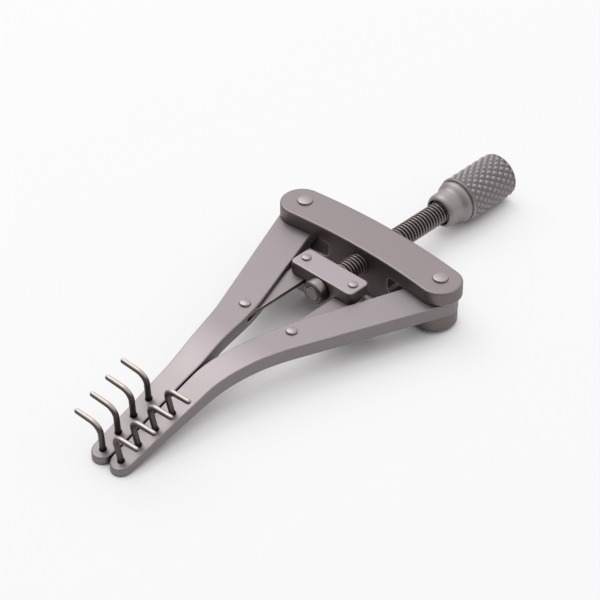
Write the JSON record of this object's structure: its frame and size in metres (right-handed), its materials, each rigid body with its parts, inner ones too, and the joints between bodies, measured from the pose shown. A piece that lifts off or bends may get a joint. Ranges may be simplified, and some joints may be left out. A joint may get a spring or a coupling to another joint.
{
  "type": "self retaining retractor",
  "caption": "Screw-spread self retaining retractor: pronged arms hinged in a slotted crossbar, linked to a rider that a knurled thumb screw pushes.",
  "frame": {"origin": "on the yoke's flat underside, at the yoke's middle, in line with the two arm pivots", "axes": "+X across the yoke, -Y towards the prongs, +Y towards the knob, +Z towards the side on which the prongs stand"},
  "size_m": [0.0404, 0.0985, 0.0133],
  "materials": {
    "blasted_steel": "bead-blasted matte stainless steel",
    "turned_steel": "satin turned stainless steel, knurled on the knob",
    "prong_wire": "satin round stainless wire",
    "rivet_steel": "matte low button rivet heads"
  },
  "bodies": {
    "yoke": {"yoke": "blasted_steel", "right_yoke_rivet": "rivet_steel", "left_yoke_rivet": "rivet_steel"},
    "rider": {"rider": "blasted_steel", "right_rider_rivet": "rivet_steel", "left_rider_rivet": "rivet_steel"},
    "spindle": {"spindle": "turned_steel", "retaining_collar": "turned_steel", "thumb_knob": "turned_steel"},
    "right_arm": {"right_arm": "blasted_steel", "right_arm_rivet": "rivet_steel", "right_prong_1": "prong_wire", "right_prong_2": "prong_wire", "right_prong_3": "prong_wire", "right_prong_4": "prong_wire"},
    "right_link": {"right_link": "blasted_steel"},
    "left_arm": {"left_arm": "blasted_steel", "left_arm_rivet": "rivet_steel", "left_prong_1": "prong_wire", "left_prong_2": "prong_wire", "left_prong_3": "prong_wire", "left_prong_4": "prong_wire"},
    "left_link": {"left_link": "blasted_steel"}
  },
  "joints": [
    {"name": "rider_slide", "type": "slide", "parent": "yoke", "child": "rider", "axis": [0, -1, 0], "range_m": [0, 0.0049]},
    {"name": "knob_turn", "type": "hinge", "parent": "rider", "child": "spindle", "pos_m": [0, 0, 0.0053], "axis": [0, -1, 0], "range_deg": [0, 2520]},
    {"name": "right_arm_hinge", "type": "hinge", "parent": "yoke", "child": "right_arm", "pos_m": [0.016, 0, 0], "axis": [0, 0, 1], "range_deg": [0, 19.84]},
    {"name": "left_arm_hinge", "type": "hinge", "parent": "yoke", "child": "left_arm", "pos_m": [-0.016, 0, 0], "axis": [0, 0, -1], "range_deg": [0, 19.84]},
    {"name": "right_link_hinge", "type": "hinge", "parent": "right_arm", "child": "right_link", "pos_m": [0.0055, -0.02575, 0.005], "axis": [0, 0, 1], "range_deg": [0, 17.17]},
    {"name": "left_link_hinge", "type": "hinge", "parent": "left_arm", "child": "left_link", "pos_m": [-0.0055, -0.02575, 0.005], "axis": [0, 0, -1], "range_deg": [0, 17.17]}
  ],
  "couplings": [
    {"joint": "knob_turn", "follows": "rider_slide", "rad_per_m": 8975.9},
    {"joint": "right_arm_hinge", "follows": "rider_slide", "rad_per_m": 70.661},
    {"joint": "right_link_hinge", "follows": "rider_slide", "rad_per_m": 61.121},
    {"joint": "left_arm_hinge", "follows": "rider_slide", "rad_per_m": 70.661},
    {"joint": "left_link_hinge", "follows": "rider_slide", "rad_per_m": 61.121}
  ]
}
